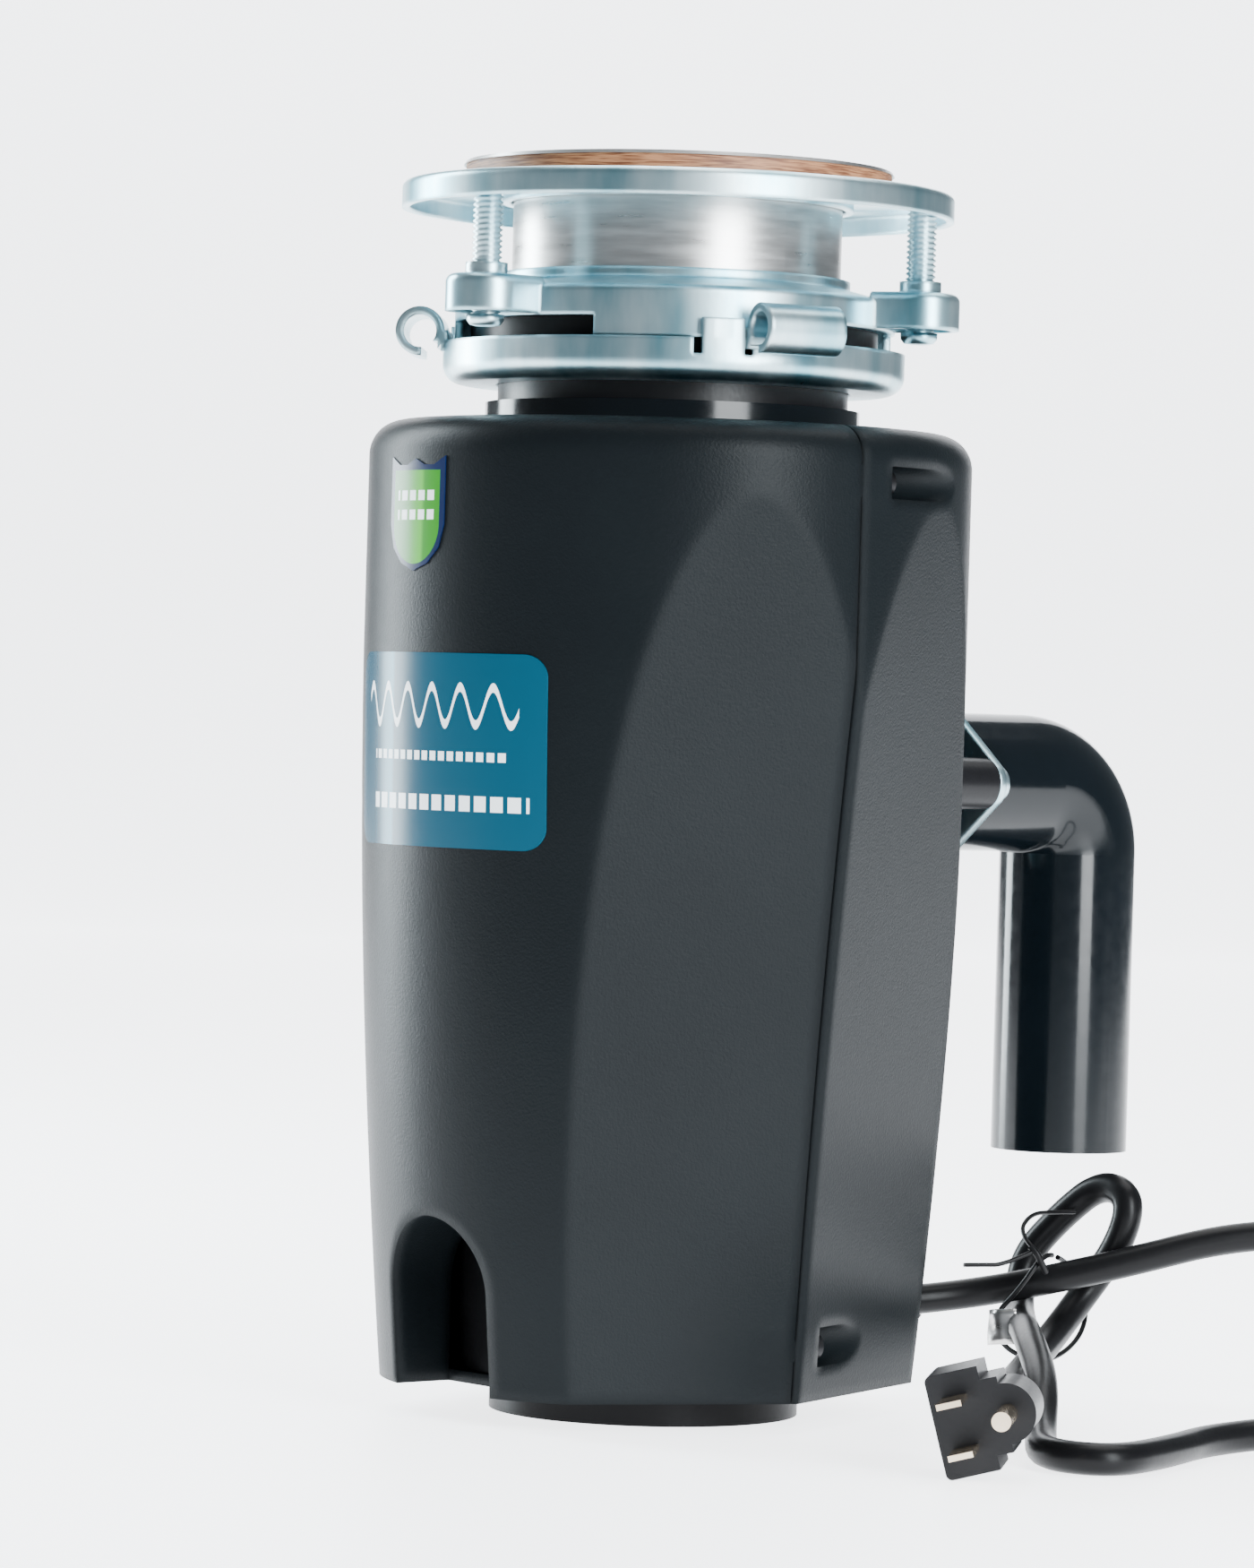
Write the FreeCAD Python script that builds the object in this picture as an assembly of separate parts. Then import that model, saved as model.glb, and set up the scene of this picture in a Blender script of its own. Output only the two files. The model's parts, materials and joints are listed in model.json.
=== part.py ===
"""Continuous-feed kitchen garbage disposal, as separate pieces.

Millimetres.  +Z is up along the motor axis, the front (labels, arch) faces -Y,
the discharge faces +Y, and the foot stands on Z = 0.
"""
import FreeCAD, Part
import math
import os

os.makedirs("parts", exist_ok=True)
V = FreeCAD.Vector
UP = V(0, 0, 1)

# ---------------------------------------------------------------- driving dimensions
# housing
SHELL_BOTTOM = 8.0
SHELL_TOP = 260.5
SHELL_R = 80.0
WALL = 3.0
# drum side from the bottom edge to full width: (radius, height)
FRONT_SIDE = ((70.4, SHELL_BOTTOM), (77.4, 108.0), (SHELL_R, 200.0))
REAR_SIDE = ((72.4, SHELL_BOTTOM), (79.3, 108.0), (SHELL_R, 150.0))
# slanted facets: heading in degrees, then distance from the axis at three heights
FACET_HEIGHTS = (SHELL_BOTTOM, 110.0, 245.0)
FACETS = (
    (-23.5, 59.2, 66.0, 80.5),
    (-156.5, 59.2, 66.0, 80.5),
    (22.4, 58.6, 66.0, 80.5),
    (157.6, 58.6, 66.0, 80.5),
    (90.0, 65.0, 71.5, 80.5),
)
TOP_CORNER_R = 9.0
SEAM_Y = -3.0
SEAM_GAP = 0.6
SEAM_DEPTH = 0.8
ARCH_HALF = 19.5
ARCH_ROUND_Z = 34.1
TUNNEL_BACK = -50.6
# housing screws: x, z, boss radius, pocket radius
SCREW_SPOTS = (
    (75.0, 246.0, 6.3, 4.2),
    (-75.0, 246.0, 6.3, 4.2),
    (57.0, 22.0, 7.2, 5.2),
    (-57.0, 22.0, 7.2, 5.2),
)
POCKET_FLOOR_Y = 7.5
SHELL_SCREW_R = 1.6
BADGE_X = -7.0
FOOT_R = 41.0
# sink mount
FLANGE_LIP_R = 57.15
SLEEVE_R = 43.7
SLEEVE_BORE_R = 42.4
SLEEVE_BOTTOM = 287.0
LIP_UNDERSIDE = 328.7
BACKUP_R = 73.3
BACKUP_TOP = 324.0
GASKET_R = 56.5
UPPER_RING_R = 58.4
LOWER_RING_R = 61.3
LOWER_RING_BORE = 47.2
SCREW_R = 3.95
SCREW_CIRCLE = 67.0
SCREW_ANGLES = (33.0, 153.0, 273.0)
EAR_CURL_R = 66.9
EAR_CURL_Z = 284.2
# hopper and grinding parts
NECK_R = 46.5
CHAMBER_R = 65.0
OUTLET_Z = 168.5
BOSS_X = 26.5
NIPPLE_R = 11.1
NIPPLE_ANGLE = 150.0
NIPPLE_Z = 226.0
PIVOT_R = 38.0
TURNTABLE_R = 59.4
# motor
CAN_R = 50.0
SHAFT_R = 5.0
BEARING_R = 13.0
BOLT_X = 44.0
RESET_Y = -28.0
# discharge: clamp plate, pipe
PLATE_Y = 92.0
PLATE_T = 2.5
PIPE_R = 19.05
PIPE_WALL = 2.2
PIPE_Y = 149.6
BEND = 19.5
PIPE_END = 66.0
# cord and plug
CORD_X = 6.0
CORD_Z = 26.0
CORD_R = 4.1
CORD_POINTS = (
    (6, 66, 26), (8, 95, 26), (40, 121, 35), (72, 163, 50), (100, 200, 42), (142, 206, 30),
    (172, 176, 20), (170, 134, 11), (152, 96, 6), (146, 66, 4.3), (161, 36, 4.3), (169, 10, 4.3),
    (150, 4, 4.3), (129, 23, 5), (111, 41, 17), (73, 70, 25), (37, 103, 21), (16, 121, 24),
    (12, 126, 37), (20, 132, 49), (30, 138, 59), (42, 138, 56), (40, 136, 43), (30, 132, 28),
    (36, 112, 15), (60, 81, 12), (93, 46, 13), (119, 20, 15.5), (137, 0, 15.5),
)
TIE_R = 0.8
TIE_POINTS = (
    (34, 116, 40), (38, 109, 41), (36, 103, 32), (27, 101, 23), (25, 107, 14), (29, 117, 10),
    (27, 129, 12), (24, 139, 18), (21, 142, 27), (27, 129, 37), (31, 121, 39),
)
PLUG_BACK = V(*CORD_POINTS[-1])
PLUG_TURN = math.degrees(math.atan2(CORD_POINTS[-1][1] - CORD_POINTS[-2][1],
                                    CORD_POINTS[-1][0] - CORD_POINTS[-2][0]))
PLUG_ROLL = 15.0
BLADE_SPACING = 12.7
GROUND_OFFSET = 11.9

# ---------------------------------------------------------------- helpers
def save(name, shape):
    """Write one node, after checking that it is one valid solid."""
    shape = shape.removeSplitter()
    state = "ok" if shape.isValid() else "INVALID"
    print(name, state, "solids", len(shape.Solids), "volume", round(shape.Volume))
    shape.exportStep("parts/" + name + ".step")


def cyl(r, z0, z1, x=0.0, y=0.0):
    return Part.makeCylinder(r, z1 - z0, V(x, y, z0), UP)


def ring(ro, ri, z0, z1, x=0.0, y=0.0):
    return cyl(ro, z0, z1, x, y).cut(cyl(ri, z0 - 1, z1 + 1, x, y))


def along_y(r, y0, y1, x=0.0, z=0.0):
    return Part.makeCylinder(r, y1 - y0, V(x, y0, z), V(0, 1, 0))


def box(x0, x1, y0, y1, z0, z1):
    return Part.makeBox(x1 - x0, y1 - y0, z1 - z0, V(x0, y0, z0))


def turned(profile):
    """Solid of revolution about Z from (radius, height) pairs."""
    pts = [V(r, 0, z) for r, z in profile]
    face = Part.Face(Part.makePolygon(pts + [pts[0]]))
    return face.revolve(V(0, 0, 0), UP, 360)


def rim_rounded(shape, rim_r, z, size):
    """Round the circular edges of one radius at one height."""
    rims = [e for e in shape.Edges if isinstance(e.Curve, Part.Circle)]
    rims = [e for e in rims if abs(e.Curve.Radius - rim_r) < 0.01 and abs(e.Curve.Center.z - z) < 0.01]
    return shape.makeFillet(size, rims)


def spun(shape, angle):
    """Copy of a shape turned about the motor axis, in degrees."""
    copy = shape.copy()
    copy.rotate(V(0, 0, 0), UP, angle)
    return copy


def polar(radius, angle):
    a = math.radians(angle)
    return radius * math.cos(a), radius * math.sin(a)


def path_wire(points, show=""):
    """Straight runs joined by tangent arcs."""
    pts = [V(*p) for p in points]
    edges = []
    radii = []
    start = pts[0]
    for before, corner, after in zip(pts, pts[1:], pts[2:]):
        u = (before - corner).normalize()
        w = (after - corner).normalize()
        turn = math.pi - u.getAngle(w)
        reach = 0.45 * min((before - corner).Length, (after - corner).Length)
        radii.append(reach / math.tan(turn / 2))
        a = corner + u * reach
        b = corner + w * reach
        bisector = (u + w).normalize()
        centre_gap = radii[-1] / math.cos(turn / 2)
        middle = corner + bisector * (centre_gap - radii[-1])
        edges.append(Part.makeLine(start, a))
        edges.append(Part.Arc(a, middle, b).toShape())
        start = b
    edges.append(Part.makeLine(start, pts[-1]))
    wire = Part.Wire(edges)
    if show:
        print(show, "length", round(wire.Length), "radii", [round(r, 1) for r in radii])
    return wire


def swept(points, radius, show=""):
    """Round bar of one radius along a path."""
    wire = path_wire(points, show)
    heading = V(*points[1]) - V(*points[0])
    circle = Part.Wire(Part.makeCircle(radius, V(*points[0]), heading))
    return wire.makePipeShell([circle], True, False)


# ---------------------------------------------------------------- outer shell


def arc_edge(points):
    return Part.Arc(*[V(r, 0, z) for r, z in points]).toShape()


def line_edge(a, b):
    return Part.makeLine(V(a[0], 0, a[1]), V(b[0], 0, b[1]))


def drum(side, inset, z_high):
    """Round body with a curved side and a rounded top edge."""
    corner = TOP_CORNER_R - inset
    r = SHELL_R - inset
    side = [(radius - inset, z) for radius, z in side]
    bevel = 0.2929 * corner
    rounding = [(r, z_high - corner), (r - bevel, z_high - bevel), (r - corner, z_high)]
    edges = [
        line_edge((0, SHELL_BOTTOM), side[0]),
        arc_edge(side),
        line_edge(side[2], rounding[0]),
        arc_edge(rounding),
        line_edge(rounding[2], (0, z_high)),
        line_edge((0, z_high), (0, SHELL_BOTTOM)),
    ]
    return Part.Face(Part.Wire(edges)).revolve(V(0, 0, 0), UP, 360)


def shell_form(inset, z_low, z_high):
    """Housing form: front and rear half drums with slanted facets, moved inward by inset."""
    front = drum(FRONT_SIDE, inset, z_high).common(box(-100, 100, -100, SEAM_Y, 0, 300))
    rear = drum(REAR_SIDE, inset, z_high).common(box(-100, 100, SEAM_Y, 100, 0, 300))
    form = front.fuse(rear)
    for heading, *distances in FACETS:
        cut = [(d - inset, z) for d, z in zip(distances, FACET_HEIGHTS)]
        edges = [
            arc_edge(cut),
            line_edge(cut[2], (120, cut[2][1])),
            line_edge((120, cut[2][1]), (120, cut[0][1])),
            line_edge((120, cut[0][1]), cut[0]),
        ]
        knife = Part.Face(Part.Wire(edges)).extrude(V(0, 300, 0))
        knife.translate(V(0, -150, 0))
        form = form.cut(spun(knife, heading))
    if z_low > SHELL_BOTTOM:
        form = form.cut(box(-100, 100, -100, 100, 0, z_low))
    return form


def arch(half, z_low, z_round, y0, y1):
    """Round-headed doorway shape along Y."""
    return box(-half, half, y0, y1, z_low, z_round).fuse(along_y(half, y0, y1, 0, z_round))


outer = shell_form(0.0, SHELL_BOTTOM, SHELL_TOP)
cavity = shell_form(WALL, SHELL_BOTTOM + WALL, SHELL_TOP - WALL)
shell = outer.cut(cavity)
skin = outer.cut(shell_form(SEAM_DEPTH, SHELL_BOTTOM, SHELL_TOP - SEAM_DEPTH))
shell = shell.cut(skin.common(box(-100, 100, SEAM_Y - SEAM_GAP / 2, SEAM_Y + SEAM_GAP / 2, 0, 300)))

tunnel = arch(ARCH_HALF + 2.5, SHELL_BOTTOM, ARCH_ROUND_Z, -75, TUNNEL_BACK).common(outer)
shell = shell.fuse(tunnel)
for x, z, boss_r, pocket_r in SCREW_SPOTS:
    shell = shell.fuse(along_y(boss_r, -14, 44, x, z).common(outer))
shell = shell.cut(arch(ARCH_HALF, SHELL_BOTTOM - 1, ARCH_ROUND_Z, -90, TUNNEL_BACK))
for x, z, boss_r, pocket_r in SCREW_SPOTS:
    side = math.copysign(30, x)
    shell = shell.cut(along_y(pocket_r, POCKET_FLOOR_Y, 90, x, z))
    shell = shell.cut(box(min(x, x + side), max(x, x + side), POCKET_FLOOR_Y, 90, z - pocket_r, z + pocket_r))
    shell = shell.cut(along_y(SHELL_SCREW_R, -10.5, POCKET_FLOOR_Y + 0.5, x, z))
shell = shell.cut(cyl(41.2, 0, 20))
shell = shell.cut(cyl(50.0, 240, 270))
shell = shell.cut(box(-38, 38, 55, 100, 144, 193))

nip_dir = V(math.cos(math.radians(NIPPLE_ANGLE)), math.sin(math.radians(NIPPLE_ANGLE)), 0)
shell = shell.cut(Part.makeCylinder(13.5, 60, nip_dir * 60 + V(0, 0, NIPPLE_Z), nip_dir))
shell = shell.cut(along_y(9.0, 55, 80, CORD_X, CORD_Z))
save("front_shell", shell.common(box(-100, 100, -100, SEAM_Y, 0, 300)))
save("rear_shell", shell.common(box(-100, 100, SEAM_Y, 100, 0, 300)))

for number, (x, z, boss_r, pocket_r) in enumerate(SCREW_SPOTS, 1):
    head = along_y(3.4, POCKET_FLOOR_Y, POCKET_FLOOR_Y + 2.6, x, z)
    save("shell_screw_%d" % number, along_y(SHELL_SCREW_R, -10, POCKET_FLOOR_Y, x, z).fuse(head))


def sticker(name, plate):
    """Thin sticker with a plate's outline that follows the front of the housing."""
    skin = shell_form(-0.3, SHELL_BOTTOM, SHELL_TOP).cut(outer)
    save(name, skin.common(plate))


plate = box(-38, 38, -100, 0, 149, 199)
upright = [e for e in plate.Edges if abs(e.tangentAt(e.FirstParameter).y) > 0.99]
sticker("front_label", plate.makeFillet(6.0, upright))

right = [(0, 249), (4, 247.4), (8, 247.4), (12.5, 249.6), (12.5, 232), (10.5, 226), (6, 222), (0, 220)]
left = [(-x, z) for x, z in reversed(right[1:-1])]
shield = [V(BADGE_X + x, -100, z) for x, z in right + left]
sticker("badge_label", Part.Face(Part.makePolygon(shield + [shield[0]])).extrude(V(0, 100, 0)))

# ---------------------------------------------------------------- hopper
hopper = turned([
    (60, 150), (64.5, 150), (64.5, 187), (68, 190), (68, 238), (NECK_R, 254), (NECK_R, 273.5), (54, 273.5),
    (54, 276.5), (43, 276.5), (43, 252), (CHAMBER_R, 236), (CHAMBER_R, 188), (60, 188),
])
outlet = along_y(19.0, 58, PLATE_Y - 5.8, 0, OUTLET_Z)
for x in (-BOSS_X, BOSS_X):
    outlet = outlet.fuse(along_y(7.0, 55, PLATE_Y, x, OUTLET_Z))
nipple = Part.makeCylinder(NIPPLE_R, 41, nip_dir * 63 + V(0, 0, NIPPLE_Z), nip_dir)
nipple = nipple.fuse(Part.makeCylinder(15.0, 8, nip_dir * 63 + V(0, 0, NIPPLE_Z), nip_dir))
hopper = hopper.fuse(outlet.cut(cyl(62, 100, 240))).fuse(nipple.cut(cyl(66, 200, 236)))
hopper = hopper.cut(along_y(16.0, 45, 95, 0, OUTLET_Z))
hopper = hopper.cut(along_y(20.5, PLATE_Y - 5.8, PLATE_Y + 1, 0, OUTLET_Z))
hopper = hopper.cut(Part.makeCylinder(8.5, 60, nip_dir * 55 + V(0, 0, NIPPLE_Z), nip_dir))
for x in (-BOSS_X, BOSS_X):
    hopper = hopper.cut(along_y(2.4, PLATE_Y - 16, PLATE_Y + 1, x, OUTLET_Z))
hopper = hopper.cut(cyl(66, 130, 150))
save("hopper", hopper)
save("inlet_plug", Part.makeCylinder(8.5, 2, nip_dir * 66 + V(0, 0, NIPPLE_Z), nip_dir))
save("neck_band", ring(49.7, NECK_R, 255.5, 266))

# ---------------------------------------------------------------- sink mount
save("sink_flange", turned([
    (SLEEVE_BORE_R, SLEEVE_BOTTOM), (SLEEVE_R, SLEEVE_BOTTOM), (SLEEVE_R, LIP_UNDERSIDE),
    (FLANGE_LIP_R, LIP_UNDERSIDE), (56.6, 329.6), (50, 330), (44.5, 329.6), (SLEEVE_BORE_R, 327),
]))
save("rubber_gasket", ring(GASKET_R, SLEEVE_R, 326.35, LIP_UNDERSIDE))
save("fibre_gasket", ring(GASKET_R, SLEEVE_R, BACKUP_TOP, 326.35))
backup = turned([
    (44.6, 319), (44.6, BACKUP_TOP), (BACKUP_R, BACKUP_TOP), (BACKUP_R, 317),
    (71.3, 317), (71.3, 322), (46.6, 322), (46.6, 319),
])
save("backup_flange", rim_rounded(backup, BACKUP_R, BACKUP_TOP, 1.9))
save("snap_ring", Part.makeTorus(45.25, 1.45, V(0, 0, 294.1), UP).cut(box(40, 50, -2, 2, 290, 298)))
save("mount_gasket", ring(54, 40, 276.5, 287))
baffle = ring(39.6, 37.6, 270, 287).fuse(cyl(37.7, 270, 272)).fuse(ring(42.0, 37.6, 287, 288.4))
baffle = baffle.cut(cyl(7, 269, 273))
for k in range(8):
    baffle = baffle.cut(spun(box(5, 34, -0.5, 0.5, 269, 273), 45 * k))
save("splash_baffle", baffle)

upper = turned([
    (44.3, 300.4), (46.3, 300.4), (46.3, 298), (UPPER_RING_R, 294.9),
    (UPPER_RING_R, 287), (56.4, 287), (56.4, 293.1), (44.3, 296),
])
upper = rim_rounded(upper, UPPER_RING_R, 294.9, 1.8)
for k in range(3):
    wedge = Part.makeCylinder(UPPER_RING_R, 5.2, V(0, 0, 281.8), UP, 58).cut(cyl(56.4, 280, 290))
    upper = upper.fuse(spun(wedge, -61 + 120 * k))
for angle in SCREW_ANGLES:
    lobe = cyl(10.5, 287.3, 297, SCREW_CIRCLE).fuse(box(50, SCREW_CIRCLE, -10.5, 10.5, 287.3, 297))
    lobe = lobe.removeSplitter()
    crown = [e for e in lobe.Edges if e.BoundBox.ZMin > 296.9 and e.BoundBox.XMax > 55]
    lobe = lobe.makeFillet(2.2, crown)
    hollow = cyl(8.5, 286, 295, SCREW_CIRCLE).fuse(box(50, SCREW_CIRCLE, -8.5, 8.5, 286, 295))
    ear = lobe.cut(hollow).cut(cyl(57.0, 280, 300))
    boss = cyl(5.5, 292, 300, SCREW_CIRCLE)
    ear = ear.fuse(boss).cut(cyl(4.0, 280, 305, SCREW_CIRCLE))
    upper = upper.fuse(spun(ear, angle))
save("upper_mounting_ring", upper)

for number, angle in enumerate(SCREW_ANGLES, 1):
    x, y = polar(SCREW_CIRCLE, angle)
    screw = cyl(SCREW_R, 285.5, 321.9, x, y).fuse(cyl(4.9, 283.6, 286.6, x, y))
    slot = Part.makeBox(12, 1.4, 1.6, V(x - 6, y - 0.7, 283.6))
    save("mounting_screw_%d" % number, screw.cut(slot))

lower = turned([
    (LOWER_RING_BORE, 270.8), (LOWER_RING_R, 270.8), (LOWER_RING_R, 281.6), (58.9, 281.6),
    (58.9, 273.2), (LOWER_RING_BORE, 273.2),
])
lower = rim_rounded(lower, LOWER_RING_R, 270.8, 5.0)
lower = rim_rounded(lower, 58.9, 273.2, 3.0)
for k in range(3):
    finger = box(58.95, 61.25, -5.5, 5.5, 280, 286.8)
    lower = lower.fuse(spun(finger.common(ring(61.3, 58.9, 279, 288)), -28 + 120 * k))
    for y in (-6.7, 6.7):
        lower = lower.cut(spun(box(58, 62, y - 1.1, y + 1.1, 277.5, 282), -28 + 120 * k))
    curl = Part.makeCylinder(6.5, 22, V(EAR_CURL_R, -11, EAR_CURL_Z), V(0, 1, 0))
    curl = curl.cut(Part.makeCylinder(4.3, 24, V(EAR_CURL_R, -12, EAR_CURL_Z), V(0, 1, 0)))
    curl = curl.cut(box(62.2, 66.5, -12, 12, 276, 281.6))
    curl = curl.cut(cyl(58.9, 270, 295))
    stem = box(59.5, 61.3, -11, 11, 279, 284.5).cut(cyl(58.9, 270, 295))
    lower = lower.fuse(spun(curl.fuse(stem), -12 + 120 * k))
save("lower_mounting_ring", lower)

# ---------------------------------------------------------------- grinding parts
grind = ring(65, 60, 188, 214)
for k in range(24):
    grind = grind.cut(spun(box(57, 63, -1.5, 1.5, 187, 199), 15 * k))
save("grind_ring", grind)
turntable = cyl(TURNTABLE_R, 190, 193).fuse(cyl(12, 182, 190))
for k in range(8):
    x, y = polar(50, 22.5 + 45 * k)
    turntable = turntable.cut(cyl(3, 180, 200, x, y))
for x in (-PIVOT_R, PIVOT_R):
    turntable = turntable.fuse(cyl(3, 193, 197.6, x)).fuse(cyl(5, 197.6, 199.4, x))
save("turntable", turntable.cut(cyl(5, 180, 200)))
impeller = box(PIVOT_R - 9, PIVOT_R + 17, -7.5, 7.5, 193.4, 197.2)
impeller = impeller.fuse(box(PIVOT_R + 8, PIVOT_R + 17, -7.5, 7.5, 197.2, 206))
impeller = impeller.cut(cyl(3.06, 190, 210, PIVOT_R))
save("impeller_a", impeller)
save("impeller_b", spun(impeller, 180))
hexagon = [V(*polar(9, 60 * k), 193) for k in range(7)]
save("turntable_nut", Part.Face(Part.makePolygon(hexagon)).extrude(V(0, 0, 6)).cut(cyl(5, 190, 200)))

# ---------------------------------------------------------------- motor
save("upper_end_bell", cyl(64.5, 140, 150).fuse(cyl(59.9, 150, 152.5)).cut(cyl(13, 139, 149))
     .cut(cyl(10, 148, 153)).cut(cyl(2.1, 139, 146, 44)).cut(cyl(2.1, 139, 146, -44)))
save("shaft_seal", ring(10, 5.4, 149, 156))
save("upper_bearing", ring(13, 5.05, 141, 149))
bell = cyl(FOOT_R, 0, 11).fuse(cyl(49.5, 11, 24))
bell = bell.cut(cyl(13, 14, 25)).cut(cyl(8, -1, 3, 0, RESET_Y)).cut(cyl(4.06, 0, 14, 0, RESET_Y))
bell = bell.cut(box(-11, 11, RESET_Y - 11, RESET_Y + 11, 12.5, 25))
for x in (-BOLT_X, BOLT_X):
    bell = bell.cut(cyl(4.2, 10, 15, x)).cut(cyl(2.1, 10, 25, x))
save("lower_end_bell", bell)
save("lower_bearing", ring(13, 5.05, 14, 23))
save("motor_can", ring(CAN_R, CAN_R - 2, 24, 140))
for name, turn in (("magnet_a", 20), ("magnet_b", 200)):
    arc = Part.makeCylinder(48, 62, V(0, 0, 54), UP, 140).cut(cyl(40.2, 50, 120))
    save(name, spun(arc, turn))
for name, x in (("motor_bolt_a", BOLT_X), ("motor_bolt_b", -BOLT_X)):
    save(name, cyl(2.1, 15, 146, x).fuse(cyl(4.0, 12, 15, x)))
core = cyl(39, 58, 112)
coils = ring(34, 9, 112, 123).fuse(ring(34, 9, 47, 58))
for k in range(12):
    groove = spun(box(22, 36, -2, 2, 57, 113), 30 * k)
    mouth = spun(box(35, 40, -1, 1, 57, 113), 30 * k)
    core = core.cut(groove).cut(mouth)
    coils = coils.fuse(spun(box(22, 34, -2, 2, 58, 112), 30 * k))
save("armature_core", core.cut(cyl(5, 50, 120)))
save("armature_windings", coils)
commutator = ring(14, 5, 30, 44)
for k in range(12):
    commutator = commutator.cut(spun(box(12.5, 15, -0.4, 0.4, 29, 45), 30 * k + 15))
save("commutator", commutator)
save("motor_shaft", cyl(SHAFT_R, 14.3, 202))
for name, turn in (("a", 0), ("b", 180)):
    sleeve = box(17, 41, -5.5, 5.5, 32, 42).cut(box(16, 40, -4.05, 4.05, 33.95, 40.05))
    foot = box(30, 40, -5.5, 5.5, 24, 32)
    save("brush_holder_" + name, spun(sleeve.fuse(foot), turn))
    save("brush_" + name, spun(box(14.3, 32, -4, 4, 34, 40), turn))
save("rectifier", box(-10, 10, 50, 58, 60, 80).cut(cyl(50, 50, 90)))
save("overload_protector", box(-10, 10, RESET_Y - 10, RESET_Y + 10, 15, 24))
save("reset_button", cyl(4.0, 1, 12, 0, RESET_Y))

# ---------------------------------------------------------------- discharge


def elbow(r):
    flat = along_y(r, PLATE_Y - 2.3, PIPE_Y - BEND, 0, OUTLET_Z)
    drop = cyl(r, PIPE_END, OUTLET_Z - BEND, 0, PIPE_Y)
    circle = Part.Face(Part.Wire(Part.makeCircle(r, V(0, PIPE_Y - BEND, OUTLET_Z), V(0, 1, 0))))
    turn = circle.revolve(V(0, PIPE_Y - BEND, OUTLET_Z - BEND), V(1, 0, 0), -90)
    return flat.fuse(turn).fuse(drop)


bore = elbow(PIPE_R - PIPE_WALL)
bore = bore.fuse(along_y(PIPE_R - PIPE_WALL, PLATE_Y - 4, PLATE_Y, 0, OUTLET_Z))
bore = bore.fuse(cyl(PIPE_R - PIPE_WALL, 60, 70, 0, PIPE_Y))
save("discharge_elbow", elbow(PIPE_R).fuse(along_y(20.4, PLATE_Y - 2.3, PLATE_Y, 0, OUTLET_Z)).cut(bore))
gasket = along_y(20.4, PLATE_Y - 5.8, PLATE_Y - 2.3, 0, OUTLET_Z)
save("elbow_gasket", gasket.cut(along_y(16.5, PLATE_Y - 6, PLATE_Y, 0, OUTLET_Z)))
PLATE_R = 23.5
EAR_R = 6.8
plate = along_y(PLATE_R, PLATE_Y, PLATE_Y + PLATE_T, 0, OUTLET_Z)
lean = (PLATE_R - EAR_R) / BOSS_X
rise = math.sqrt(1 - lean * lean)
for side in (-1, 1):
    plate = plate.fuse(along_y(EAR_R, PLATE_Y, PLATE_Y + PLATE_T, side * BOSS_X, OUTLET_Z))
    corners = [
        V(side * PLATE_R * lean, PLATE_Y, OUTLET_Z + PLATE_R * rise),
        V(side * (BOSS_X + EAR_R * lean), PLATE_Y, OUTLET_Z + EAR_R * rise),
        V(side * (BOSS_X + EAR_R * lean), PLATE_Y, OUTLET_Z - EAR_R * rise),
        V(side * PLATE_R * lean, PLATE_Y, OUTLET_Z - PLATE_R * rise),
    ]
    plate = plate.fuse(Part.Face(Part.makePolygon(corners + [corners[0]])).extrude(V(0, PLATE_T, 0)))
plate = plate.cut(along_y(PIPE_R + 0.1, 80, 110, 0, OUTLET_Z))
for x in (-BOSS_X, BOSS_X):
    plate = plate.cut(along_y(2.4, 80, 110, x, OUTLET_Z))
save("elbow_flange", plate)
for name, x in (("elbow_screw_a", -BOSS_X), ("elbow_screw_b", BOSS_X)):
    shank = along_y(2.4, PLATE_Y - 14.8, PLATE_Y + PLATE_T, x, OUTLET_Z)
    save(name, shank.fuse(along_y(4.8, PLATE_Y + PLATE_T, PLATE_Y + PLATE_T + 3, x, OUTLET_Z)))

# ---------------------------------------------------------------- cord and plug
save("power_cord", swept(CORD_POINTS, CORD_R, "power_cord"))
relief = Part.makeCone(9.0, 5.6, 26, V(CORD_X, 64, CORD_Z), V(0, 1, 0))
relief = relief.fuse(along_y(11.0, 58, 62, CORD_X, CORD_Z)).fuse(along_y(9.0, 58, 66, CORD_X, CORD_Z))
lead = swept(CORD_POINTS[:3], CORD_R)
save("strain_relief", relief.cut(lead).cut(along_y(CORD_R, 57, 67, CORD_X, CORD_Z)))


def placed_plug(shape):
    """Shapes are drawn with the prongs along +X, then rolled and laid on the floor."""
    copy = shape.copy()
    heading = FreeCAD.Rotation(UP, PLUG_TURN)
    copy.Placement = FreeCAD.Placement(PLUG_BACK, heading.multiply(FreeCAD.Rotation(V(1, 0, 0), PLUG_ROLL)))
    return copy


body = box(10, 33, -12.4, 1, -13, 13)
body = body.fuse(box(10, 33, 0, 5.2, -9.5, 9.5)).fuse(Part.makeCylinder(7.6, 23, V(10, 5.2, 0), V(1, 0, 0)))
body = body.removeSplitter()
edges = [e for e in body.Edges if e.Length > 20 and abs(e.tangentAt(e.FirstParameter).x) > 0.99]
body = body.makeFillet(1.6, [e for e in edges if e.BoundBox.YMin < -12])
body = body.fuse(Part.makeCone(6.0, 9.5, 12, V(0, 0, 0), V(1, 0, 0)))
blades = box(24, 26, -9.1, -2.9, -BLADE_SPACING / 2, BLADE_SPACING / 2)
for z in (-BLADE_SPACING / 2, BLADE_SPACING / 2):
    blades = blades.fuse(box(24, 49, -9.1, -2.9, z - 0.75, z + 0.75))
pin = Part.makeCylinder(2.4, 28, V(24, GROUND_OFFSET - 6.0, 0), V(1, 0, 0))
save("plug_body", placed_plug(body.cut(blades).cut(pin)))
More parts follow.
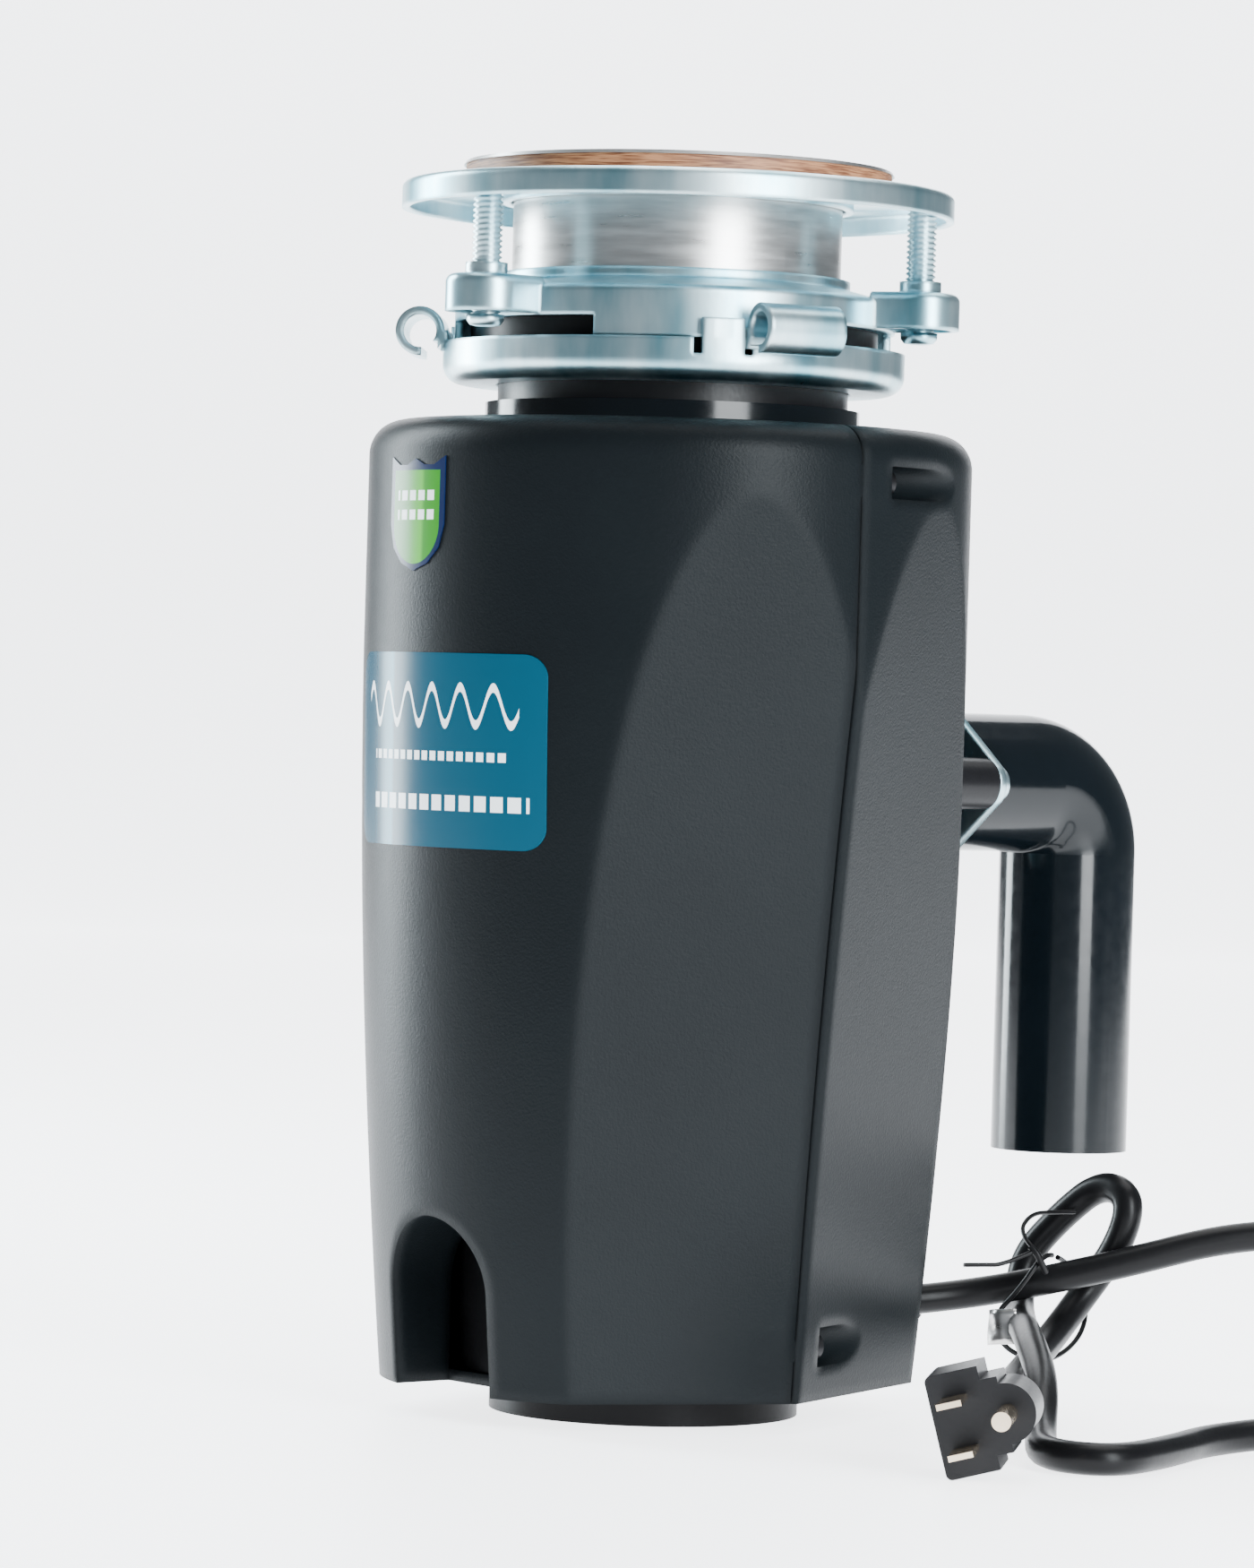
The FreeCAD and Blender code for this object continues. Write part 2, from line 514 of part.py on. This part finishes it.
save("plug_blades", placed_plug(blades))
save("plug_ground_pin", placed_plug(pin))
save("cord_tie", swept(TIE_POINTS, TIE_R))
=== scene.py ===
import json
import math
import bpy
import bmesh
from mathutils import Matrix, Vector


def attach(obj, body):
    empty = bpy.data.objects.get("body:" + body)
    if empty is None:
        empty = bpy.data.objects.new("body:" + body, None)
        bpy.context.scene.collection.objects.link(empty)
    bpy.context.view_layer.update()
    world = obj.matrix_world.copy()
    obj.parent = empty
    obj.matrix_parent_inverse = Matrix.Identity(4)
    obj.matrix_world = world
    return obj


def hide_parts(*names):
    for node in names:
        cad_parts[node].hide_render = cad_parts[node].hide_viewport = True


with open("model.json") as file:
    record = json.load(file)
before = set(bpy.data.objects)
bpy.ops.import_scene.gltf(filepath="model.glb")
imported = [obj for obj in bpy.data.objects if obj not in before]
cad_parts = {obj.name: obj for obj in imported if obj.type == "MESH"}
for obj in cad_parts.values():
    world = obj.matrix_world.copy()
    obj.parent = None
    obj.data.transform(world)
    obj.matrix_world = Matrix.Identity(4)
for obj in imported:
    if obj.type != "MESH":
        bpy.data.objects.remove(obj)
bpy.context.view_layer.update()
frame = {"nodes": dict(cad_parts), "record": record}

MM = 0.001
NODES = frame["nodes"]

# ------------------------------------------------------------------ camera
AZIMUTH = math.radians(50.0)
DISTANCE = 1.666
EYE_HEIGHT = 0.1865
YAW = math.radians(0.312)
PITCH = math.radians(-0.705)
ROLL = math.radians(1.7)
LENS = 144.0

cam_data = bpy.data.cameras.new("camera")
cam_data.sensor_width = 36.0
cam_data.lens = LENS
cam_data.clip_start = 0.05
cam_data.clip_end = 50.0
cam = bpy.data.objects.new("camera", cam_data)
bpy.context.scene.collection.objects.link(cam)
turn = Matrix.Rotation(AZIMUTH + YAW, 4, "Z")
turn = turn @ Matrix.Rotation(math.pi / 2 + PITCH, 4, "X") @ Matrix.Rotation(ROLL, 4, "Z")
place = Vector((DISTANCE * math.sin(AZIMUTH), -DISTANCE * math.cos(AZIMUTH), EYE_HEIGHT))
cam.matrix_world = Matrix.Translation(place) @ turn
bpy.context.scene.camera = cam


# ------------------------------------------------------------------ curves
def wire_piece(name, points_mm, radius_mm, body="housing"):
    """Smooth round wire through listed control points."""
    curve = bpy.data.curves.new(name, "CURVE")
    curve.dimensions = "3D"
    curve.bevel_depth = 1.0
    curve.bevel_resolution = 6
    curve.resolution_u = 16
    curve.use_fill_caps = True
    spline = curve.splines.new("NURBS")
    spline.points.add(len(points_mm) - 1)
    for point, (x, y, z) in zip(spline.points, points_mm):
        point.co = (x * MM, y * MM, z * MM, 1.0)
        point.radius = radius_mm * MM
    spline.order_u = 3
    spline.use_endpoint_u = True
    obj = bpy.data.objects.new(name, curve)
    bpy.context.scene.collection.objects.link(obj)
    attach(obj, body)
    return obj


CORD_R = 4.1
CORD_POINTS = (
    (6, 66, 26), (8, 95, 26), (40, 121, 35), (72, 163, 50), (100, 200, 42), (142, 206, 30),
    (172, 176, 20), (170, 134, 11), (152, 96, 6), (146, 66, 4.3), (161, 36, 4.3), (169, 10, 4.3),
    (150, 4, 4.3), (129, 23, 5), (111, 41, 17), (73, 70, 25), (37, 103, 21), (16, 121, 24),
    (12, 126, 37), (20, 132, 49), (30, 138, 59), (42, 138, 56), (40, 136, 43), (30, 132, 28),
    (36, 112, 15), (60, 81, 12), (93, 46, 13), (119, 20, 15.5), (137, 0, 15.5),
)
cord = wire_piece("cord", CORD_POINTS, CORD_R)
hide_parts("power_cord")


# ------------------------------------------------------------------ materials
class Look:
    """Small builder around one Principled shader."""

    def __init__(self, name, rough=0.5, metal=0.0, **sockets):
        self.mat = bpy.data.materials.new(name)
        self.mat.use_nodes = True
        self.tree = self.mat.node_tree
        self.shader = self.tree.nodes["Principled BSDF"]
        self.shader.inputs["Roughness"].default_value = rough
        self.shader.inputs["Metallic"].default_value = metal
        for key, value in sockets.items():
            self.shader.inputs[key.replace("_", " ")].default_value = value
        self.coords = self.add("ShaderNodeTexCoord").outputs["Object"]

    def add(self, kind, **settings):
        node = self.tree.nodes.new(kind)
        for key, value in settings.items():
            setattr(node, key, value)
        return node

    def join(self, a, b):
        self.tree.links.new(a, b)

    def stretch(self, scale):
        node = self.add("ShaderNodeMapping")
        node.inputs["Scale"].default_value = scale
        self.join(self.coords, node.inputs["Vector"])
        return node.outputs["Vector"]

    def noise(self, scale, detail=3.0, vector=None):
        node = self.add("ShaderNodeTexNoise")
        node.inputs["Scale"].default_value = scale
        node.inputs["Detail"].default_value = detail
        self.join(vector if vector is not None else self.coords, node.inputs["Vector"])
        return node.outputs["Fac"]

    def ramp(self, fac, stops):
        node = self.add("ShaderNodeValToRGB")
        ends = node.color_ramp.elements
        while len(ends) < len(stops):
            ends.new(0.5)
        for end, (at, colour) in zip(ends, stops):
            end.position = at
            end.color = (*colour, 1.0)
        self.join(fac, node.inputs["Fac"])
        return node.outputs["Color"]

    def colour(self, out):
        self.join(out, self.shader.inputs["Base Color"])
        return self

    def roughness(self, fac, low, high):
        node = self.add("ShaderNodeMapRange")
        node.inputs["To Min"].default_value = low
        node.inputs["To Max"].default_value = high
        self.join(fac, node.inputs["Value"])
        self.join(node.outputs["Result"], self.shader.inputs["Roughness"])
        return self

    def bump(self, height, strength, distance, soften=0.0):
        """Surface relief; soften rounds the look of sharp edges by that many metres."""
        node = self.add("ShaderNodeBump")
        if soften:
            edge = self.add("ShaderNodeBevel", samples=6)
            edge.inputs["Radius"].default_value = soften
            self.join(edge.outputs["Normal"], node.inputs["Normal"])
        node.inputs["Strength"].default_value = strength
        node.inputs["Distance"].default_value = distance
        self.join(height, node.inputs["Height"])
        self.join(node.outputs["Normal"], self.shader.inputs["Normal"])
        return self

    def math(self, operation, a, b=None, c=None):
        node = self.add("ShaderNodeMath", operation=operation)
        for socket, value in zip(node.inputs, (a, b, c)):
            if value is None:
                continue
            if isinstance(value, (int, float)):
                socket.default_value = value
            else:
                self.join(value, socket)
        return node.outputs[0]

    def mix(self, fac, a, b):
        node = self.add("ShaderNodeMix", data_type="RGBA")
        self.join(fac, node.inputs["Factor"])
        for socket, value in ((node.inputs[6], a), (node.inputs[7], b)):
            if isinstance(value, tuple):
                socket.default_value = (*value, 1.0)
            else:
                self.join(value, socket)
        return node.outputs[2]


def moulded(name, low, high, rough, grain, strength, soften=0.0, **sockets):
    look = Look(name, **sockets)
    fine = look.noise(grain, 2.0)
    look.colour(look.ramp(look.noise(14.0), ((0.3, low), (0.7, high))))
    return look.roughness(fine, rough - 0.06, rough + 0.06).bump(fine, strength, 0.0002, soften).mat


def metal(name, low, high, rough, stretch=(1, 1, 1), grain=900.0, strength=0.12, soften=0.0):
    look = Look(name, metal=1.0)
    blotch = look.noise(60.0, 4.0, look.stretch(stretch))
    look.colour(look.ramp(blotch, ((0.35, low), (0.65, high))))
    look.roughness(blotch, rough - 0.07, rough + 0.07)
    return look.bump(look.noise(grain, 3.0), strength, 0.0001, soften).mat


INK = (0.85, 0.9, 0.92)
# painted highlight: half width of the lighter band painted across each sticker
PAINTED_HIGHLIGHT_HALF = 0.012


def printed(name, base, painted_highlight, painted_highlight_x, rows, border=None):
    """Glossy sticker: one painted highlight streak, plain white rows, and an optional dark shield border."""
    look = Look(name, rough=0.24, Specular_IOR_Level=0.15)
    parts = look.add("ShaderNodeSeparateXYZ")
    look.join(look.coords, parts.inputs[0])
    x, z = parts.outputs[0], parts.outputs[2]
    sweep = look.add("ShaderNodeMapRange")
    sweep.inputs["From Min"].default_value = painted_highlight_x - PAINTED_HIGHLIGHT_HALF
    sweep.inputs["From Max"].default_value = painted_highlight_x + PAINTED_HIGHLIGHT_HALF
    look.join(x, sweep.inputs["Value"])
    # painted highlight: a lighter band of colour across the sticker, centred at the given x
    colour = look.ramp(sweep.outputs["Result"], ((0.2, base), (0.5, painted_highlight), (0.56, base)))
    for centre_x, centre_z, half_x, half_z, wave, pitch, gap in rows:
        phase = look.math("MULTIPLY", x, 2 * math.pi / pitch)
        ripple = look.math("MULTIPLY_ADD", look.math("SINE", phase), wave, centre_z)
        in_z = look.math("COMPARE", z, ripple, half_z)
        in_x = look.math("COMPARE", x, centre_x, half_x)
        inked = look.math("GREATER_THAN", look.math("COSINE", phase), gap)
        mask = look.math("MULTIPLY", look.math("MULTIPLY", in_z, in_x), inked)
        colour = look.mix(mask, colour, INK)
    if border:
        centre_x, half_x, waist_z, point_z, top_z, dark = border
        across = look.math("MULTIPLY_ADD", x, 1 / half_x, -centre_x / half_x)
        below = look.math("MAXIMUM", look.math("SUBTRACT", waist_z, z), 0.0)
        down = look.math("MULTIPLY", below, 1 / (waist_z - point_z))
        reach = look.math("MULTIPLY_ADD", down, down, look.math("MULTIPLY", across, across))
        inner = look.math("MULTIPLY", look.math("LESS_THAN", reach, 1.0), look.math("LESS_THAN", z, top_z))
        colour = look.mix(inner, dark, colour)
    return look.colour(colour).mat


shell_look = moulded("shell_plastic", (0.0035, 0.0050, 0.0060), (0.0050, 0.0068, 0.0080),
                     0.37, 1500.0, 0.35, 0.005, Specular_IOR_Level=0.08)
black_look = moulded("black_plastic", (0.004, 0.004, 0.005), (0.008, 0.008, 0.009), 0.36, 900.0, 0.15,
                     Specular_IOR_Level=0.2)
gloss_look = moulded("gloss_black", (0.0015, 0.003, 0.004), (0.003, 0.005, 0.007), 0.14, 260.0, 0.03,
                    Specular_IOR_Level=0.28)
rubber_look = moulded("rubber", (0.003, 0.003, 0.0035), (0.006, 0.006, 0.0065), 0.34, 700.0, 0.10,
                      Specular_IOR_Level=0.12)
paint_look = moulded("black_paint", (0.003, 0.003, 0.0035), (0.006, 0.006, 0.0065), 0.38, 800.0, 0.12,
                     Specular_IOR_Level=0.08)
carbon_look = moulded("carbon", (0.02, 0.02, 0.02), (0.04, 0.04, 0.04), 0.6, 1800.0, 0.3)
magnet_look = moulded("magnet", (0.06, 0.06, 0.065), (0.09, 0.09, 0.095), 0.6, 1200.0, 0.3)
red_look = moulded("red_plastic", (0.45, 0.02, 0.015), (0.55, 0.03, 0.02), 0.3, 500.0, 0.05)
zinc_look = metal("zinc", (0.20, 0.44, 0.52), (0.60, 0.75, 0.79), 0.30, (1, 1, 0.3), soften=0.0015)
steel_look = metal("steel", (0.42, 0.42, 0.43), (0.55, 0.55, 0.56), 0.35)
# painted shade: near-black steel that stands in for the shade inside the shell-screw pockets
painted_shade_steel_look = metal("painted_shade_steel", (0.015, 0.015, 0.016), (0.03, 0.03, 0.032), 0.45)
stainless_look = metal("stainless", (0.55, 0.54, 0.53), (0.68, 0.67, 0.66), 0.30, (1, 1, 9))
aluminium_look = metal("aluminium", (0.5, 0.5, 0.51), (0.62, 0.62, 0.63), 0.5, grain=400.0, strength=0.4)
copper_look = metal("copper", (0.55, 0.24, 0.10), (0.75, 0.36, 0.18), 0.3, (1, 1, 12))
brass_look = metal("brass", (0.62, 0.50, 0.36), (0.80, 0.68, 0.52), 0.22)

fibre = Look("fibre", rough=0.55)
layers = fibre.noise(900.0, 2.0, fibre.stretch((0.15, 0.15, 3.0)))
fibre.colour(fibre.ramp(layers, ((0.35, (0.16, 0.05, 0.02)), (0.6, (0.50, 0.22, 0.10)))))
fibre_look = fibre.bump(layers, 0.5, 0.0003).mat

# rows: middle x, middle z, half width, half height, ripple height, ripple pitch, gap (-2 for none)
# border: middle x, half width, height of the waist, of the point and of the top edge, colour
# the second colour and the x after it paint a highlight streak on the blue label
blue_look = printed("label_blue", (0.001, 0.050, 0.085), (0.02, 0.20, 0.30), -0.016, (
    (0.0, 0.1855, 0.031, 0.0012, 0.0048, 0.0105, -2.0),
    (0.001, 0.1725, 0.027, 0.0012, 0.0, 0.0033, -0.55),
    (0.004, 0.1605, 0.030, 0.0020, 0.0, 0.0050, -0.65),
))
# the second colour and the x after it paint a highlight streak on the green label
green_look = printed("label_green", (0.02, 0.20, 0.010), (0.06, 0.36, 0.02), -0.004, (
    (-0.007, 0.2395, 0.0085, 0.0013, 0.0, 0.0040, -0.6),
    (-0.007, 0.2345, 0.0085, 0.0013, 0.0, 0.0040, -0.6),
), (-0.007, 0.0106, 0.232, 0.2218, 0.2460, (0.003, 0.010, 0.045)))

LOOKS = {
    "shell_plastic": shell_look, "black_plastic": black_look, "gloss_black": gloss_look,
    "rubber": rubber_look, "black_paint": paint_look, "carbon": carbon_look,
    "magnet": magnet_look, "red_plastic": red_look,
    "zinc": zinc_look, "steel": steel_look, "stainless": stainless_look,
    "aluminium": aluminium_look, "copper": copper_look, "brass": brass_look, "fibre": fibre_look,
    "label_blue": blue_look, "label_green": green_look,
}
for entry in frame["record"]["subparts"]:
    obj = NODES[entry["node"]]
    obj.data.materials.clear()
    obj.data.materials.append(LOOKS[entry["material_slot"]])
# painted shade: the shell screws get the near-black steel so their pockets read as shade
for number in range(1, 5):
    NODES["shell_screw_%d" % number].data.materials[0] = painted_shade_steel_look
cord.data.materials.append(rubber_look)


# ------------------------------------------------------------------ threaded screws
SCREW_CIRCLE = 67.0
THREAD_MAJOR = 3.95
THREAD_MINOR = 3.25
THREAD_PITCH = 1.411
THREAD_LOW = 286.6
THREAD_HIGH = 321.9


def screw_piece(number, angle_deg):
    """Mounting screw with a rolled thread and a domed head."""
    cx = SCREW_CIRCLE * math.cos(math.radians(angle_deg))
    cy = SCREW_CIRCLE * math.sin(math.radians(angle_deg))
    around, rows_per_turn = 32, 8
    mesh = bmesh.new()
    rings = []
    head = (
        (0.4, 283.9), (2.2, 283.6), (3.9, 283.9), (4.8, 285.0), (4.9, THREAD_LOW), (THREAD_MINOR, THREAD_LOW),
    )
    for r, z in head:
        rings.append([(r, z)] * around)
    rows = int((THREAD_HIGH - THREAD_LOW) / THREAD_PITCH * rows_per_turn)
    for row in range(1, rows + 1):
        z = THREAD_LOW + (THREAD_HIGH - THREAD_LOW) * row / rows
        line = []
        for k in range(around):
            phase = (z / THREAD_PITCH - k / around) % 1.0
            flank = max(0.0, 1.0 - abs(phase - 0.5) * 2.4)
            crest = min(1.0, flank * 1.25)
            line.append((THREAD_MINOR + (THREAD_MAJOR - THREAD_MINOR) * crest, z))
        rings.append(line)
    grid = []
    for line in rings:
        loop = []
        for k, (r, z) in enumerate(line):
            a = 2 * math.pi * k / around
            loop.append(mesh.verts.new(((cx + r * math.cos(a)) * MM, (cy + r * math.sin(a)) * MM, z * MM)))
        grid.append(loop)
    for lower, upper in zip(grid, grid[1:]):
        for k in range(around):
            n = (k + 1) % around
            mesh.faces.new((lower[k], lower[n], upper[n], upper[k]))
    mesh.faces.new(list(reversed(grid[0])))
    mesh.faces.new(grid[-1])
    data = bpy.data.meshes.new("threaded_screw_%d" % number)
    mesh.to_mesh(data)
    mesh.free()
    data.shade_smooth()
    data.materials.append(zinc_look)
    obj = bpy.data.objects.new("threaded_screw_%d" % number, data)
    bpy.context.scene.collection.objects.link(obj)
    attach(obj, "screw_%d" % number)
    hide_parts("mounting_screw_%d" % number)


for number, angle in enumerate((33.0, 153.0, 273.0), 1):
    screw_piece(number, angle)

# ------------------------------------------------------------------ wire tie and cord tags
TIE_POINTS = (
    (34, 116, 40), (38, 109, 41), (36, 103, 32), (27, 101, 23), (25, 107, 14), (29, 117, 10),
    (27, 129, 12), (24, 139, 18), (21, 142, 27), (27, 129, 37), (31, 121, 39),
)
tie = wire_piece("tie_loop", TIE_POINTS, 0.7)
tie_twist = wire_piece("tie_twist", ((38, 110, 36), (39, 107, 39), (39, 106, 41), (37, 105, 43)), 0.95)
tie_end_a = wire_piece("tie_end_a", ((38, 106, 42), (34, 98, 38), (32, 93, 38), (30, 87, 38)), 0.6)
tie_end_b = wire_piece("tie_end_b", (
    (38, 106, 42), (32, 105, 46), (28, 113, 51), (26, 124, 51), (28, 130, 51),
), 0.6)
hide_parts("cord_tie")
for piece in (tie, tie_twist, tie_end_a, tie_end_b):
    piece.data.materials.append(rubber_look)


def foil_tag(name, corner, across, up, bulge):
    """Small curled strip of foil, thick enough to be a closed shell."""
    columns, rows, thick = 12, 6, 0.35
    corner, across, up = Vector(corner), Vector(across), Vector(up)
    out = across.cross(up).normalized()
    mesh = bmesh.new()
    sides = []
    for depth in (0.0, thick):
        grid = []
        for i in range(rows + 1):
            line = []
            for k in range(columns + 1):
                u, v = k / columns, i / rows
                curl = bulge * math.sin(math.pi * u) + 0.25 * math.sin(9 * u + 5 * v)
                spot = corner + across * u + up * v + out * (curl + depth)
                line.append(mesh.verts.new(spot * MM))
            grid.append(line)
        sides.append(grid)
    for grid, flip in zip(sides, (True, False)):
        for i in range(rows):
            for k in range(columns):
                quad = [grid[i][k], grid[i][k + 1], grid[i + 1][k + 1], grid[i + 1][k]]
                mesh.faces.new(list(reversed(quad)) if flip else quad)
    back, front = sides
    rim = [(0, k) for k in range(columns)] + [(i, columns) for i in range(rows)]
    rim += [(rows, k) for k in range(columns, 0, -1)] + [(i, 0) for i in range(rows, 0, -1)]
    for (i, k), (m, n) in zip(rim, rim[1:] + rim[:1]):
        mesh.faces.new((back[i][k], back[m][n], front[m][n], front[i][k]))
    data = bpy.data.meshes.new(name)
    mesh.to_mesh(data)
    mesh.free()
    data.shade_smooth()
    obj = bpy.data.objects.new(name, data)
    bpy.context.scene.collection.objects.link(obj)
    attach(obj, "housing")
    return obj


silver_tag = foil_tag("silver_tag", (32, 95, 16), (9, 2, 1), (-1, 1, 9.5), 2.2)
silver_tag.data.materials.append(stainless_look)
white_tag = wire_piece("white_tag", ((127, 11, 15.5), (123, 15.5, 15.5), (118.5, 20.5, 15.5)), 4.6)
white_look = moulded("white_vinyl", (0.72, 0.73, 0.74), (0.80, 0.81, 0.82), 0.4, 500.0, 0.05)
white_tag.data.materials.append(white_look)


# ------------------------------------------------------------------ studio
BACKDROP_GLOW = 3.3
GLOW_STARTS = -0.70
GLOW_FULL = -0.30


def backdrop():
    """White sweep: a floor that curves up into a wall; its glow fades in towards the object."""
    front, flat, bend, top, steps = -2.6, 3.2, 0.8, 5.0, 24
    floor_half, wall_half = 2.0, 1.4
    profile = [(front, 0.0), (flat, 0.0)]
    for k in range(1, steps + 1):
        a = math.pi / 2 * k / steps
        profile.append((flat + bend * math.sin(a), bend * (1 - math.cos(a))))
    profile.append((flat + bend, top))
    points, faces = [], []
    heading = Matrix.Rotation(AZIMUTH, 4, "Z")
    for depth, z in profile:
        half = wall_half if z > 0 else floor_half
        for side in (-half, half):
            points.append(heading @ Vector((side, depth, z)))
    for k in range(len(profile) - 1):
        faces.append((2 * k, 2 * k + 1, 2 * k + 3, 2 * k + 2))
    data = bpy.data.meshes.new("backdrop")
    data.from_pydata(points, [], faces)
    data.shade_smooth()
    look = Look("backdrop", rough=0.45)
    paper = look.ramp(look.noise(3.0), ((0.3, (0.80, 0.81, 0.83)), (0.7, (0.84, 0.85, 0.87))))
    look.colour(paper)
    look.shader.inputs["Emission Color"].default_value = (0.93, 0.95, 0.98, 1.0)
    depth = look.add("ShaderNodeVectorMath", operation="DOT_PRODUCT")
    depth.inputs[1].default_value = (-math.sin(AZIMUTH), math.cos(AZIMUTH), 0.0)
    look.join(look.coords, depth.inputs[0])
    fade = look.add("ShaderNodeMapRange", interpolation_type="SMOOTHSTEP")
    fade.inputs["From Min"].default_value = GLOW_STARTS
    fade.inputs["From Max"].default_value = GLOW_FULL
    fade.inputs["To Max"].default_value = BACKDROP_GLOW
    look.join(depth.outputs["Value"], fade.inputs["Value"])
    look.join(fade.outputs["Result"], look.shader.inputs["Emission Strength"])
    data.materials.append(look.mat)
    obj = bpy.data.objects.new("backdrop", data)
    bpy.context.scene.collection.objects.link(obj)


backdrop()


MIDDLE = Vector((0, 0, 0.17))


def area_light(name, azimuth, elevation, distance, size, power, colour=(1, 1, 1)):
    """Soft box aimed at the middle of the object; azimuth is measured from the camera's heading."""
    data = bpy.data.lights.new(name, "AREA")
    data.shape = "RECTANGLE"
    data.size, data.size_y = size
    data.energy = power
    data.color = colour
    obj = bpy.data.objects.new(name, data)
    a = AZIMUTH + math.radians(azimuth)
    e = math.radians(elevation)
    heading = Vector((math.sin(a) * math.cos(e), -math.cos(a) * math.cos(e), math.sin(e)))
    spot = MIDDLE + distance * heading
    aim = (MIDDLE - spot).to_track_quat("-Z", "Y").to_matrix().to_4x4()
    obj.matrix_world = Matrix.Translation(spot) @ aim
    bpy.context.scene.collection.objects.link(obj)


area_light("left_box", -122, 12, 1.5, (0.45, 1.5), 70, (0.84, 0.95, 1.0))
area_light("right_box", 36, 16, 1.9, (0.7, 1.4), 80, (0.92, 0.97, 1.0))
area_light("top_box", 150, 76, 2.2, (2.0, 2.0), 60)

world = bpy.data.worlds.new("studio")
world.use_nodes = True
world.node_tree.nodes["Background"].inputs["Color"].default_value = (0.80, 0.88, 0.95, 1)
world.node_tree.nodes["Background"].inputs["Strength"].default_value = 0.28
bpy.context.scene.world = world
